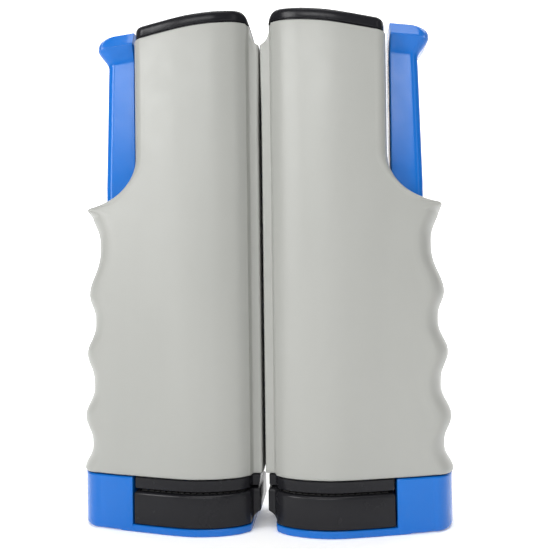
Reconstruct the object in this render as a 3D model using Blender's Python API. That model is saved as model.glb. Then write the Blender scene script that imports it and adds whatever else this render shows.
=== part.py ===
"""Retractable table tennis net: two spring-clamp posts with the net wound between them.

The frame's origin is at the middle of the base. X runs from the left post to the right
one, the front of the posts faces -Y, and Z is up. Driving dimensions are in millimetres
and every mesh is scaled to metres once it is finished. Each piece is modelled for the
right-hand post, and the left-hand post is its mirror image.
"""

import math

import bmesh
import bpy
from mathutils import Matrix, Vector

MM = 0.001
GAP = 0.3

# Levels, upward from the underside of the foot. The cap and the housing's top edge slope
# down away from the seam, so their levels are those the slope would reach at the seam.
TOP_SLOPE = 0.128
CAP_TOP = 179.5
SHELL_TOP = 175.05
SHELL_BOTTOM = 19.2
FOOT_PLATE = 2.65
COLUMN_TOP = SHELL_BOTTOM - 0.4
ABOVE_ALL = 190.0

# Plan section of a post, measured from the seam between the two posts.
SEAM_FACE = 0.4
FLANGE_END = 3.3
FLANGE_DEPTH = 12.0
TUBE_START = 4.4
TUBE_SECTION = [
    (TUBE_START, 15.1), (6.0, 16.7), (8.0, 18.3), (12.0, 20.0), (16.0, 21.1),
    (24.0, 21.6), (34.0, 19.7), (45.0, 16.8), (54.0, 14.4), (60.0, 12.3),
]
TUBE_STATIONS = [TUBE_START, 6.0, 7.5, 9.5, 12.5, 16.0, 20.0, 24.5, 29.5, 34.5, 39.5]
PARTITION_OUTER = 43.8
PARTITION_INNER = 41.4
CAVITY_START = 6.5
WALL = 2.4
END_RADIUS = 8.0
SPLIT_HALF_GAP = 0.15

# Outer edge of the grip: height and reach of each ridge and groove, from the bottom.
GRIP_EDGE = [
    (SHELL_BOTTOM, 66.2), (28.2, 63.1), (38.0, 65.8), (49.7, 62.3), (60.4, 65.0),
    (72.0, 61.6), (81.3, 63.9), (98.8, 59.5), (110.6, 62.5),
]
GRIP_STEPS = 4
RIDGE_SHARPNESS = 1.5

# Shoulder where the grip gives way to the thumb lever.
SHOULDER_CURVE = [(PARTITION_OUTER, 129.0), (PARTITION_OUTER, 118.2), (52.0, 113.9), (60.6, 112.3)]
SHOULDER_TIP = [(61.3, 112.0), (62.0, 111.4), (62.4, 110.5), (80.0, 110.5)]

# Pointed notch at the top of the seam: two arcs that meet below and rise to plain walls.
NOTCH_RADIUS = 5.35
NOTCH_CENTRE = (-1.9, 172.2)

# Net reel.
REEL_X = 23.5
REEL_BOTTOM = 24.8
REEL_TOP = 168.0
REEL_FLANGE = 1.2
REEL_FLANGE_RADIUS = 15.5
SPIGOT_BOTTOM = 168.4
SPIGOT_TOP = 24.4
CORE_RADIUS = 6.0
CORE_BORE = 4.6
SHAFT_RADIUS = 1.5
SHAFT_BORE = 1.9
SHAFT_TOP = 173.8
ROLL_RADIUS = 16.4
NET_BOTTOM = REEL_BOTTOM + REEL_FLANGE + 0.4
NET_TOP = REEL_TOP - REEL_FLANGE - 0.4
NET_THICKNESS = 0.7
SLOT_HALF_WIDTH = 1.3
SLOT_TOP = 169.0
SPAN_BEND = 4.4

# Clamp slider, its channel and its spring.
SPINE_START = 45.4
SPINE_DEPTH = 8.0
SPINE_LEVELS = [(10.0, 56.5), (120.0, 56.5), (166.0, 55.3)]
CHANNEL_END = 57.0
CHANNEL_DEPTH = 8.5
HEAD_BAND = (165.4, 170.4)
SPRING_X = 50.6
WINDOW = (47.6, 53.6, 34.0, 114.0)
SEAT = (48.2, 53.0, 34.6, 40.0)
SEAT_HALF_LENGTH = 6.6
ROD_TOP = 69.0
ROD_RADIUS = 1.1

# Jaws.
JAW_END = 44.6
JAW_START = 0.8
UPPER_JAW_BOTTOM = 15.7
UPPER_PAD_BOTTOM = 15.6
LOWER_JAW_TOP = 13.2
LOWER_PAD_TOP = 13.4
POCKET_MARGIN = 2.0
PLATE_START = 3.8
PLATE_NOTCH_RADIUS = 3.8
PLATE_NOTCH_HEIGHT = 1.8
FOOT_OUTER = 65.6
COLUMN_START = 45.0

# Screws.
SCREW_HEAD = 1.9
SCREW_SHANK = 1.1
SCREW_HOLE = 1.45
CAP_SCREW_Z = 170.4
JAW_SCREW_Z = 22.1
END_SCREW_X = 14.0
END_SCREW_SEAT = 19.0
SEAT_SCREW_SEAT = 12.0
SEAT_SCREW_Z = 37.3
FOOT_SCREWS = [14.0, 33.0]

GREY = ((0.52, 0.52, 0.48), 0.42, 0.0)
BLUE = ((0.03, 0.18, 0.70), 0.3, 0.0)
BLACK = ((0.012, 0.012, 0.014), 0.4, 0.0)
RUBBER = ((0.02, 0.02, 0.02), 0.8, 0.0)
STEEL = ((0.60, 0.60, 0.62), 0.3, 1.0)
NET = ((0.03, 0.10, 0.25), 0.9, 0.0)
REEL_PLASTIC = ((0.75, 0.75, 0.72), 0.5, 0.0)


# ---------------------------------------------------------------- plan outlines


def half_depth(x):
    """Return half the post's depth at x: a smooth curve through TUBE_SECTION."""
    knots = TUBE_SECTION
    index = max(i for i in range(len(knots) - 1) if knots[i][0] <= x or i == 0)
    (x0, y0), (x1, y1) = knots[index], knots[index + 1]
    before = knots[max(index - 1, 0)]
    after = knots[min(index + 2, len(knots) - 1)]
    slope0 = (y1 - before[1]) / (x1 - before[0])
    slope1 = (after[1] - y0) / (after[0] - x0)
    width = x1 - x0
    t = (x - x0) / width
    return (
        y0 * (1 + 2 * t) * (1 - t) ** 2
        + slope0 * width * t * (1 - t) ** 2
        + y1 * t * t * (3 - 2 * t)
        + slope1 * width * t * t * (t - 1)
    )


def rounded_end(centre_x, end_x, depth, steps):
    """Return the quarter ellipse from (centre_x, depth) round to (end_x, 0)."""
    reach = end_x - centre_x
    angles = [math.pi / 2 * i / steps for i in range(steps + 1)]
    return [(centre_x + reach * math.sin(a), depth * math.cos(a)) for a in angles]


def lever_side(start, end, depth):
    """Return one side of the lever's section: flat face, rounded corner and flat edge."""
    return [(start, depth), (end - 3.2, depth), (end - 1.0, depth - 1.0), (end, depth - 3.2), (end, 0.0)]


def tube_side(start, end):
    """Return the outer curve of one side of the tube between two X stations."""
    inner = [x for x in TUBE_STATIONS if start < x < end]
    return [(x, half_depth(x)) for x in [start] + inner + [end]]


def flange_side(seam_x):
    """Return one side of the thin flange along the seam, up to where the tube begins."""
    return [(seam_x, FLANGE_DEPTH - 0.8), (seam_x + 0.8, FLANGE_DEPTH), (FLANGE_END, FLANGE_DEPTH)]


def grip_side(end_x):
    """Return one side of the grip from the partition round to its outer edge."""
    centre = end_x - END_RADIUS
    middle = [PARTITION_OUTER + (centre - PARTITION_OUTER) * i / 2 for i in range(2)]
    sides = [(x, half_depth(x)) for x in middle]
    return sides + rounded_end(centre, end_x, half_depth(centre), 5)


def both_sides(side):
    """Close a half outline (from seam to outer edge, y >= 0) with its mirror image."""
    lower = [(x, -y) for x, y in side]
    upper = [(x, y) for x, y in reversed(side) if y > 0.001]
    return lower + upper


def inset(outline, distance):
    """Return a closed outline moved inward, counter-clockwise outlines only."""
    moved = []
    count = len(outline)
    for i, point in enumerate(outline):
        here = Vector(point)
        before = (here - Vector(outline[i - 1])).normalized()
        after = (Vector(outline[(i + 1) % count]) - here).normalized()
        normal = Vector((-before.y - after.y, before.x + after.x)).normalized()
        stretch = max(0.5, normal.dot(Vector((-before.y, before.x))))
        moved.append(tuple(here + normal * distance / stretch))
    return moved


def post_outline(start, end):
    """Return the closed plan outline of a post's tube with its seam flange."""
    return both_sides(flange_side(start) + tube_side(TUBE_START, end))


def cavity_outline(margin):
    """Return the reel cavity's outline, or one smaller by margin all round."""
    side = [(CAVITY_START - WALL, FLANGE_DEPTH)] + tube_side(TUBE_START, PARTITION_INNER + WALL)
    return inset(both_sides(side), WALL + margin)


def pad_outline(margin):
    """Return the outline of a jaw pad, margin inside the jaw's edge."""
    return inset(both_sides(tube_side(TUBE_START, JAW_END)), margin)


def sloped(outline, level):
    """Lift a plan outline to a level that falls away from the seam with the cap's slope."""
    return [(x, y, level - TOP_SLOPE * x) for x, y in outline]


def grip_reach(z):
    """Return how far out the grip's edge stands at height z."""
    for (z0, x0), (z1, x1) in zip(GRIP_EDGE, GRIP_EDGE[1:]):
        if z <= z1:
            groove, ridge = min(x0, x1), max(x0, x1)
            travel = (z - z0) / (z1 - z0) if x0 < x1 else (z1 - z) / (z1 - z0)
            wave = (1 - math.cos(math.pi * travel)) / 2
            return groove + (ridge - groove) * wave ** RIDGE_SHARPNESS
    return GRIP_EDGE[-1][1]


# ---------------------------------------------------------------- solids


def to_object(name, mesh_data):
    """Turn a bmesh into a scene object, still in millimetres."""
    bmesh.ops.recalc_face_normals(mesh_data, faces=mesh_data.faces)
    mesh = bpy.data.meshes.new(name)
    mesh_data.to_mesh(mesh)
    mesh_data.free()
    shape = bpy.data.objects.new(name, mesh)
    bpy.context.scene.collection.objects.link(shape)
    return shape


def loft(name, rings):
    """Skin closed rings of 3D points, all of one length, and cap both ends."""
    solid = bmesh.new()
    levels = [[solid.verts.new(point) for point in ring] for ring in rings]
    count = len(rings[0])
    for low, high in zip(levels, levels[1:]):
        for i in range(count):
            j = (i + 1) % count
            solid.faces.new((low[i], low[j], high[j], high[i]))
    solid.faces.new(levels[0])
    solid.faces.new(levels[-1])
    return to_object(name, solid)


def prism(name, outline, low, high):
    """Extrude a plan outline upward from low to high."""
    return loft(name, [[(x, y, z) for x, y in outline] for z in (low, high)])


def side_prism(name, outline, half_width):
    """Extrude an outline in the XZ plane through the post, front to back."""
    return loft(name, [[(x, y, z) for x, z in outline] for y in (-half_width, half_width)])


def box(name, low, high):
    """Make a plain block between two corners."""
    outline = [(low[0], low[1]), (high[0], low[1]), (high[0], high[1]), (low[0], high[1])]
    return prism(name, outline, low[2], high[2])


def turned(name, centre, profile, segments, axis="Z"):
    """Spin a closed (radius, distance) profile about an axis through centre."""
    solid = bmesh.new()
    rings = []
    for i in range(segments):
        angle = 2 * math.pi * i / segments
        ring = []
        for radius, along in profile:
            across = (radius * math.cos(angle), radius * math.sin(angle))
            if axis == "Z":
                point = (across[0], across[1], along)
            else:
                point = (across[0], along, across[1])
            ring.append(solid.verts.new(Vector(point) + Vector(centre)))
        rings.append(ring)
    for i, ring in enumerate(rings):
        following = rings[(i + 1) % segments]
        for k in range(len(profile)):
            m = (k + 1) % len(profile)
            solid.faces.new((ring[k], ring[m], following[m], following[k]))
    bmesh.ops.remove_doubles(solid, verts=solid.verts, dist=0.0001)
    bmesh.ops.dissolve_degenerate(solid, edges=solid.edges, dist=0.0001)
    return to_object(name, solid)


def cylinder(name, centre, radius, low, high, segments, axis="Z"):
    """Make a round bar along an axis."""
    profile = [(0.0, low), (radius, low), (radius, high), (0.0, high)]
    return turned(name, centre, profile, segments, axis)


def screw_hole(centre, seat, tip, mouth, axis="Y"):
    """Make the cutter for a screw: its shank's hole and, past the seat, its head's recess."""
    recess = SCREW_HEAD + 0.4
    profile = [
        (0.0, tip), (SCREW_HOLE, tip), (SCREW_HOLE, seat), (recess, seat), (recess, mouth), (0.0, mouth)
    ]
    return turned("screw_hole", centre, profile, 12, axis)


def coil(name, centre, radius, wire, low, high, turns):
    """Make a round-wire coil with closed ends, standing on Z."""
    steps_per_turn = 8
    sides = 4
    steps = steps_per_turn * turns
    rings = []
    for i in range(steps + 1):
        angle = 2 * math.pi * i / steps_per_turn
        outward = Vector((math.cos(angle), math.sin(angle), 0.0))
        height = low + wire + (high - low - 2 * wire) * i / steps
        middle = Vector(centre) + outward * radius + Vector((0.0, 0.0, height))
        ring = []
        for k in range(sides):
            turn = 2 * math.pi * k / sides
            offset = outward * math.cos(turn) + Vector((0.0, 0.0, math.sin(turn)))
            ring.append(middle + offset * wire)
        rings.append(ring)
    return loft(name, rings)


def combine(shape, cutters=(), additions=()):
    """Add and cut solids with exact Booleans, and drop the solids that were used."""
    for tools, operation in ((additions, "UNION"), (cutters, "DIFFERENCE")):
        for tool in tools:
            tool.hide_render = True
            tool.display_type = "WIRE"
            modifier = shape.modifiers.new(tool.name, "BOOLEAN")
            modifier.operation = operation
            modifier.object = tool
    graph = bpy.context.evaluated_depsgraph_get()
    mesh = bpy.data.meshes.new_from_object(shape.evaluated_get(graph))
    shape.modifiers.clear()
    shape.data = mesh
    for tool in list(additions) + list(cutters):
        bpy.data.objects.remove(tool)
    return shape


# ---------------------------------------------------------------- placing pieces


def make_material(name, look):
    """Make the Principled material that belongs to one piece."""
    colour, roughness, metallic = look
    surface = bpy.data.materials.new(name)
    surface.use_nodes = True
    shader = surface.node_tree.nodes["Principled BSDF"]
    shader.inputs["Base Color"].default_value = (*colour, 1.0)
    shader.inputs["Roughness"].default_value = roughness
    shader.inputs["Metallic"].default_value = metallic
    surface.diffuse_color = (*colour, 1.0)
    return surface


def add_joint_frame(name, x):
    """Add the empty that carries a moving group, standing on its joint's axis."""
    empty = bpy.data.objects.new(name, None)
    empty.location = (x * MM, 0.0, 0.0)
    bpy.context.scene.collection.objects.link(empty)
    return empty


def place_one(name, mesh, look, carrier):
    """Make the finished object of one piece, in metres, and hang it on its group's empty."""
    mesh.name = name
    mesh.transform(Matrix.Translation(-carrier.location) @ Matrix.Scale(MM, 4))
    mesh.shade_smooth()
    mesh.set_sharp_from_angle(angle=math.radians(35))
    mesh.materials.clear()
    mesh.materials.append(make_material(name, look))
    piece = bpy.data.objects.new(name, mesh)
    piece.parent = carrier
    bpy.context.scene.collection.objects.link(piece)


def place_pair(name, shape, look, carriers):
    """Finish a right-hand piece and its mirror image for the left-hand post."""
    right = shape.data.copy()
    left = shape.data.copy()
    left.transform(Matrix.Scale(-1.0, 4, Vector((1.0, 0.0, 0.0))))
    left.flip_normals()
    bpy.data.objects.remove(shape)
    place_one(name + "_left", left, look, carriers["left"])
    place_one(name + "_right", right, look, carriers["right"])


# ---------------------------------------------------------------- housing


def shell_blank(name, facing):
    """Make the solid outer form of the front (-1) or rear (+1) half of the housing."""
    levels = []
    for (z0, _), (z1, _) in zip(GRIP_EDGE, GRIP_EDGE[1:]):
        levels += [z0 + (z1 - z0) * i / GRIP_STEPS for i in range(GRIP_STEPS)]
    rings = []
    for z in levels + [GRIP_EDGE[-1][0]]:
        side = flange_side(SEAM_FACE) + tube_side(TUBE_START, 42.5) + grip_side(grip_reach(z))
        outline = [(x, facing * max(y, SPLIT_HALF_GAP)) for x, y in [(SEAM_FACE, 0.0)] + side]
        rings.append([(x, y, z) for x, y in outline])
    rings.append(sloped(outline, SHELL_TOP))
    return loft(name, rings)


def shoulder_cutter(name):
    """Make the cutter that leaves room beside the tube for the thumb lever."""
    curve = []
    steps = 8
    for i in range(steps + 1):
        t = i / steps
        weights = ((1 - t) ** 3, 3 * t * (1 - t) ** 2, 3 * t * t * (1 - t), t ** 3)
        x = sum(w * p[0] for w, p in zip(weights, SHOULDER_CURVE))
        z = sum(w * p[1] for w, p in zip(weights, SHOULDER_CURVE))
        curve.append((x, z))
    outline = [(PARTITION_OUTER, ABOVE_ALL), *curve, *SHOULDER_TIP, (80.0, ABOVE_ALL)]
    return side_prism(name, outline, 40.0)


def notch_cutter(name):
    """Make the cutter for one post's half of the pointed notch at the top of the seam."""
    centre_x, centre_z = NOTCH_CENTRE
    angles = [math.pi / 2 * i / 8 for i in range(9)]
    arc = [(centre_x + NOTCH_RADIUS * math.sin(a), centre_z - NOTCH_RADIUS * math.cos(a)) for a in angles]
    outline = [*arc, (centre_x + NOTCH_RADIUS, ABOVE_ALL), (centre_x, ABOVE_ALL)]
    return side_prism(name, outline, 30.0)


def net_slot_cutter(name):
    """Make the cutter for the net's slot, opening towards the side the net winds on."""
    outline = [
        (-2.0, -SLOT_HALF_WIDTH), (9.0, -SLOT_HALF_WIDTH), (9.0, 7.9), (7.0, 7.9),
        (FLANGE_END, SLOT_HALF_WIDTH), (-2.0, SLOT_HALF_WIDTH),
    ]
    return prism(name, outline, NET_BOTTOM - 0.6, SLOT_TOP)


def housing_screw_holes():
    """Make the cutters for the screws in the back of the rear shell."""
    ends = [(END_SCREW_X, 0, z) for z in (CAP_SCREW_Z, JAW_SCREW_Z)]
    holes = [screw_hole(centre, END_SCREW_SEAT, 15.0, 30.0) for centre in ends]
    return holes + [screw_hole((SPRING_X, 0, SEAT_SCREW_Z), SEAT_SCREW_SEAT, 5.0, 20.0)]


def build_shell(name, facing, carriers):
    """Build one half of the grip housing for both posts."""
    blank = shell_blank(name, facing)
    channel = both_sides(lever_side(PARTITION_OUTER, CHANNEL_END, CHANNEL_DEPTH))
    cutters = [
        prism("cavity", cavity_outline(0.0), 0.0, ABOVE_ALL),
        prism("channel", channel, 0.0, ABOVE_ALL),
        shoulder_cutter("shoulder"),
        notch_cutter("notch"),
        net_slot_cutter("net_slot"),
    ]
    if facing > 0:
        cutters += housing_screw_holes()
    place_pair(name, combine(blank, cutters), GREY, carriers)


def build_top_cap(carriers):
    """Build the black end cap, whose spigot closes the tube and holds the shaft."""
    side = [(3.6, 11.5)] + tube_side(TUBE_START, 42.7)
    outline = inset(both_sides(side), 0.15)
    rim = [(SHELL_TOP + GAP, 0.0), (CAP_TOP - 1.6, 0.0), (CAP_TOP - 0.5, 0.5), (CAP_TOP, 1.5)]
    cap = loft("cap", [sloped(inset(outline, margin), level) for level, margin in rim])
    plug = cavity_outline(GAP)
    spigot = loft("spigot", [[(x, y, SPIGOT_BOTTOM) for x, y in plug], sloped(plug, SHELL_TOP + 1.0)])
    cutters = [
        cylinder("bore", (REEL_X, 0, 0), SHAFT_BORE, SPIGOT_BOTTOM - 5, SHAFT_TOP + GAP, 20),
        cylinder("screw", (END_SCREW_X, 0, CAP_SCREW_Z), SCREW_HOLE, 9.6, 30, 12, "Y"),
    ]
    place_pair("top_cap", combine(cap, cutters, [spigot]), BLACK, carriers)


def build_upper_jaw(carriers):
    """Build the upper jaw plate under the tube, its spigot, and its rubber pad."""
    outline = post_outline(JAW_START, JAW_END)
    plate = prism("plate", outline, UPPER_JAW_BOTTOM, SHELL_BOTTOM - GAP)
    spigot = prism("spigot", cavity_outline(GAP), UPPER_JAW_BOTTOM + 1.2, SPIGOT_TOP)
    pocket_top = UPPER_PAD_BOTTOM + 1.0 + GAP
    cutters = [
        prism("pocket", pad_outline(POCKET_MARGIN), 0.0, pocket_top),
        cylinder("bore", (REEL_X, 0, 0), SHAFT_BORE, SHELL_BOTTOM + 0.2, 60.0, 20),
        cylinder("screw", (END_SCREW_X, 0, JAW_SCREW_Z), SCREW_HOLE, 9.6, 30, 12, "Y"),
    ]
    place_pair("upper_jaw", combine(plate, cutters, [spigot]), BLACK, carriers)
    pad = prism("pad", pad_outline(POCKET_MARGIN + GAP), UPPER_PAD_BOTTOM, pocket_top - GAP)
    place_pair("upper_pad", pad, RUBBER, carriers)


# ---------------------------------------------------------------- slider and lower jaw


def thumb_head(name):
    """Make the hooked thumb head on top of the slider's spine, as slices along X."""
    # Each slice: X, underside, top, and how far the rim flares past the neck.
    slices = [
        (45.5, 160.0, 175.5, 0.9), (46.3, 160.0, 175.6, 1.5), (50.0, 160.0, 175.2, 1.6),
        (55.0, 160.0, 174.5, 1.5), (56.0, 164.9, 174.3, 1.3), (57.2, 167.2, 173.9, 0.6),
        (58.5, 169.4, 173.1, -0.8), (59.3, 170.8, 172.2, -2.2),
    ]
    rings = []
    for x, low, top, flare in slices:
        neck = SPINE_DEPTH - 0.1 - 0.02 * max(0.0, x - 50.0) ** 2
        rim = neck + flare
        under = max(low + 0.1, HEAD_BAND[0] - 1.6)
        band_low = max(under + 0.1, HEAD_BAND[0])
        band_high = max(band_low + 0.1, HEAD_BAND[1])
        rise = (top - band_high) * 0.3
        side = [
            (neck + min(flare, 0.0), low), (neck + min(flare, 0.0), under), (rim, band_low),
            (rim, band_high), (rim - 1.0, top - rise), (rim - 1.8, top),
        ]
        rings.append([(x, -y, z) for y, z in side] + [(x, y, z) for y, z in reversed(side)])
    return loft(name, rings)


def foot_column(name):
    """Make the foot's upright block, which the table edge butts against."""
    side = [(COLUMN_START, half_depth(COLUMN_START))] + grip_side(FOOT_OUTER)[1:]
    outline = both_sides(side)
    rim = [(0.0, 0.9), (0.7, 0.2), (1.5, 0.0), (COLUMN_TOP, 0.0)]
    return loft(name, [[(x, y, z) for x, y in inset(outline, margin)] for z, margin in rim])


def build_clamp_slider(carriers):
    """Build the blue slider: thumb head, spine, column and foot plate in one moulding."""
    rings = []
    for z, end in SPINE_LEVELS:
        outline = both_sides(lever_side(SPINE_START, end, SPINE_DEPTH))
        rings.append([(x, y, z) for x, y in outline])
    spine = loft("spine", rings)
    plate_outline = both_sides([(PLATE_START, FLANGE_DEPTH)] + tube_side(TUBE_START, 50.0))
    plate = prism("foot_plate", inset(plate_outline, 0.25), 0.0, FOOT_PLATE)
    low_x, high_x, low_z, high_z = WINDOW
    cutters = [box("window", (low_x, -20, low_z), (high_x, 20, high_z))]
    cutters += [screw_hole((x, 0, 0), 1.7, 5.0, -1.0, "Z") for x in FOOT_SCREWS]
    additions = [thumb_head("head"), foot_column("column"), plate]
    place_pair("clamp_slider", combine(spine, cutters, additions), BLUE, carriers)


def build_lower_jaw(carriers):
    """Build the lower jaw block on the foot plate, and its rubber pad."""
    outline = post_outline(JAW_START, JAW_END)
    block = prism("block", outline, FOOT_PLATE + GAP, LOWER_JAW_TOP)
    pocket_floor = LOWER_PAD_TOP - 1.9
    notch = cylinder(
        "notch", (JAW_START, 0, PLATE_NOTCH_HEIGHT), PLATE_NOTCH_RADIUS, -30, 30, 32, "Y"
    )
    cutters = [prism("pocket", pad_outline(POCKET_MARGIN), pocket_floor, 40.0), notch]
    for x in FOOT_SCREWS:
        cutters.append(cylinder("hole", (x, 0, 0), SCREW_HOLE, 0.0, 9.2, 12))
    place_pair("lower_jaw", combine(block, cutters), BLACK, carriers)
    pad = prism("pad", pad_outline(POCKET_MARGIN + GAP), pocket_floor + GAP, LOWER_PAD_TOP)
    place_pair("lower_pad", pad, RUBBER, carriers)


def build_clamp_spring(post):
    """Build the spring seat, the guide rod and the spring that lifts the slider."""
    low_x, high_x, low_z, high_z = SEAT
    seat = box("seat", (low_x, -SEAT_HALF_LENGTH, low_z), (high_x, SEAT_HALF_LENGTH, high_z))
    hole = cylinder("screw", (SPRING_X, 0, SEAT_SCREW_Z), SCREW_HOLE, 0.5, 10.0, 12, "Y")
    place_pair("spring_seat", combine(seat, [hole]), BLACK, post)
    spring_low = high_z + GAP
    rod = cylinder("rod", (SPRING_X, 0, 0), ROD_RADIUS, spring_low, ROD_TOP, 16)
    place_pair("spring_guide_rod", rod, STEEL, post)
    spring = coil("spring", (SPRING_X, 0, 0), 2.1, 0.4, spring_low, WINDOW[3] - GAP, 11)
    place_pair("clamp_spring", spring, STEEL, post)


# ---------------------------------------------------------------- reel and net


def build_reel(post, reel):
    """Build the fixed shaft and the reel that turns on it with the wound net."""
    centre = (REEL_X, 0, 0)
    shaft = cylinder("shaft", centre, SHAFT_RADIUS, SHELL_BOTTOM + 0.5, SHAFT_TOP, 16)
    place_pair("reel_shaft", shaft, STEEL, post)
    core_low = REEL_BOTTOM + REEL_FLANGE + GAP
    core_high = REEL_TOP - REEL_FLANGE - GAP
    tube_profile = [
        (CORE_BORE, core_low), (CORE_RADIUS, core_low), (CORE_RADIUS, core_high), (CORE_BORE, core_high)
    ]
    place_pair("reel_tube", turned("tube", centre, tube_profile, 20), REEL_PLASTIC, reel)
    hub = CORE_BORE - GAP
    lower_profile = [
        (SHAFT_BORE, REEL_BOTTOM), (REEL_FLANGE_RADIUS, REEL_BOTTOM),
        (REEL_FLANGE_RADIUS, REEL_BOTTOM + REEL_FLANGE), (hub, REEL_BOTTOM + REEL_FLANGE),
        (hub, REEL_BOTTOM + 8.0), (SHAFT_BORE, REEL_BOTTOM + 8.0),
    ]
    upper_profile = [
        (SHAFT_BORE, REEL_TOP - 8.0), (hub, REEL_TOP - 8.0), (hub, REEL_TOP - REEL_FLANGE),
        (REEL_FLANGE_RADIUS, REEL_TOP - REEL_FLANGE), (REEL_FLANGE_RADIUS, REEL_TOP),
        (SHAFT_BORE, REEL_TOP),
    ]
    lower = turned("lower_plug", centre, lower_profile, 20)
    upper = turned("upper_plug", centre, upper_profile, 20)
    place_pair("reel_lower_plug", lower, REEL_PLASTIC, reel)
    place_pair("reel_upper_plug", upper, REEL_PLASTIC, reel)
    spring = coil("reel_spring", centre, 3.1, 0.5, REEL_BOTTOM + 8.5, REEL_TOP - 8.5, 8)
    place_pair("reel_spring", spring, STEEL, reel)
    roll_bore = CORE_RADIUS + GAP
    roll_profile = [
        (roll_bore, NET_BOTTOM), (ROLL_RADIUS, NET_BOTTOM), (ROLL_RADIUS, NET_TOP), (roll_bore, NET_TOP)
    ]
    place_pair("net_roll", turned("roll", centre, roll_profile, 28), NET, reel)


def build_net_span(carrier):
    """Build the stretch of net that runs from one roll to the other through both slots."""
    distance = ROLL_RADIUS + GAP + NET_THICKNESS / 2
    angle = math.acos(distance / (REEL_X - SPAN_BEND))
    touch = (REEL_X - distance * math.cos(angle), distance * math.sin(angle))
    path = [(-touch[0], touch[1]), (-SPAN_BEND, 0.0), (SPAN_BEND, 0.0), touch]
    thick = NET_THICKNESS / 2
    outline = []
    for side in (-1, 1):
        edge = []
        for i, point in enumerate(path):
            here = Vector(point)
            before = here - Vector(path[max(i - 1, 0)])
            after = Vector(path[min(i + 1, len(path) - 1)]) - here
            normals = [Vector((-d.y, d.x)).normalized() for d in (before, after) if d.length > 0]
            normal = sum(normals, Vector((0.0, 0.0))).normalized()
            edge.append(tuple(here + normal * side * thick / normal.dot(normals[0])))
        outline += edge if side < 0 else edge[::-1]
    span = prism("span", outline, NET_BOTTOM, NET_TOP)
    mesh = span.data.copy()
    bpy.data.objects.remove(span)
    place_one("net_span", mesh, NET, carrier)


# ---------------------------------------------------------------- screws


def screw(name, centre, under_head, length, axis):
    """Make a pan-head screw whose shank runs from under_head towards lower values."""
    tip = under_head - length
    profile = [
        (0.0, tip), (SCREW_SHANK, tip + 1.0), (SCREW_SHANK, under_head), (SCREW_HEAD, under_head),
        (SCREW_HEAD, under_head + 0.6), (SCREW_HEAD * 0.6, under_head + 1.0), (0.0, under_head + 1.0),
    ]
    return turned(name, centre, profile, 8, axis)


def build_screws(post, slider):
    """Build the screws in the back of each housing and under each foot."""
    # Each housing screw: X, Z, the level under its head, and its length.
    housing = [
        (END_SCREW_X, CAP_SCREW_Z, END_SCREW_SEAT + 0.1, 8.8),
        (END_SCREW_X, JAW_SCREW_Z, END_SCREW_SEAT + 0.1, 8.8),
        (SPRING_X, SEAT_SCREW_Z, SEAT_SCREW_SEAT + 0.1, 11.1),
    ]
    for number, (x, z, under_head, length) in enumerate(housing, start=1):
        shape = screw("screw", (x, 0, z), under_head, length, "Y")
        place_pair(f"housing_screw_{number}", shape, STEEL, post)
    for number, x in enumerate(FOOT_SCREWS, start=1):
        upward = screw("screw", (0, 0, 0), 0.0, 7.2, "Z")
        upward.data.transform(Matrix.Rotation(math.pi, 4, "X"))
        upward.data.transform(Matrix.Translation((x, 0, 1.6)))
        place_pair(f"foot_screw_{number}", upward, STEEL, slider)


def main():
    """Build the whole net: two posts, their sliders and reels, and the net between."""
    for item in list(bpy.data.objects):
        bpy.data.objects.remove(item)
    sides = {"left": -1, "right": 1}
    post = {side: add_joint_frame(f"{side}_post_frame", 0.0) for side in sides}
    slider = {side: add_joint_frame(f"{side}_slider_frame", sign * SPRING_X) for side, sign in sides.items()}
    reel = {side: add_joint_frame(f"{side}_reel_axis", sign * REEL_X) for side, sign in sides.items()}
    build_shell("front_shell", -1, post)
    build_shell("rear_shell", 1, post)
    build_top_cap(post)
    build_upper_jaw(post)
    build_clamp_slider(slider)
    build_lower_jaw(slider)
    build_clamp_spring(post)
    build_reel(post, reel)
    build_net_span(post["left"])
    build_screws(post, slider)


main()
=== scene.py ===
"""Looks of the retractable table tennis net: two spring-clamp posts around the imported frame."""
import math

import bmesh
import bpy
from mathutils import Matrix, Vector


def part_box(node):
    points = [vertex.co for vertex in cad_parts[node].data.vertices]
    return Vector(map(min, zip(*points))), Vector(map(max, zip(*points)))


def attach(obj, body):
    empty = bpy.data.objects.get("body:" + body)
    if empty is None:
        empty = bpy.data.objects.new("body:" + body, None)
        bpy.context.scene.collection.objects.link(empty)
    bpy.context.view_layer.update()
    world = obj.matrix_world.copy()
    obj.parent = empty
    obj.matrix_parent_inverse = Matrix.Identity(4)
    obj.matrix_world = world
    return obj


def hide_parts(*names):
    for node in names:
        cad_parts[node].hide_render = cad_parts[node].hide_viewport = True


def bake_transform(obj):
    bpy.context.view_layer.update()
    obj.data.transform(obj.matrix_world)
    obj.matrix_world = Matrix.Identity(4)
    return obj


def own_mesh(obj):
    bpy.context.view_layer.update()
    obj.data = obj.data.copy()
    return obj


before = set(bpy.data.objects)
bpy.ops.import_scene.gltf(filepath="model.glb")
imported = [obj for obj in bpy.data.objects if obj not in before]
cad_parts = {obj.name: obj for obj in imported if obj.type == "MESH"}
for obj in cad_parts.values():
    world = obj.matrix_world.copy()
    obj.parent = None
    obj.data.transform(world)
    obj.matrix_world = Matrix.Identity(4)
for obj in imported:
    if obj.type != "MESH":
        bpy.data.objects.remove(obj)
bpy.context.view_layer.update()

MM = 0.001
SIDES = {"left": -1, "right": 1}


def corners(node):
    """Return a CAD node's lowest and highest corners in millimetres."""
    low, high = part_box(node)
    return Vector(low) / MM, Vector(high) / MM


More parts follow.
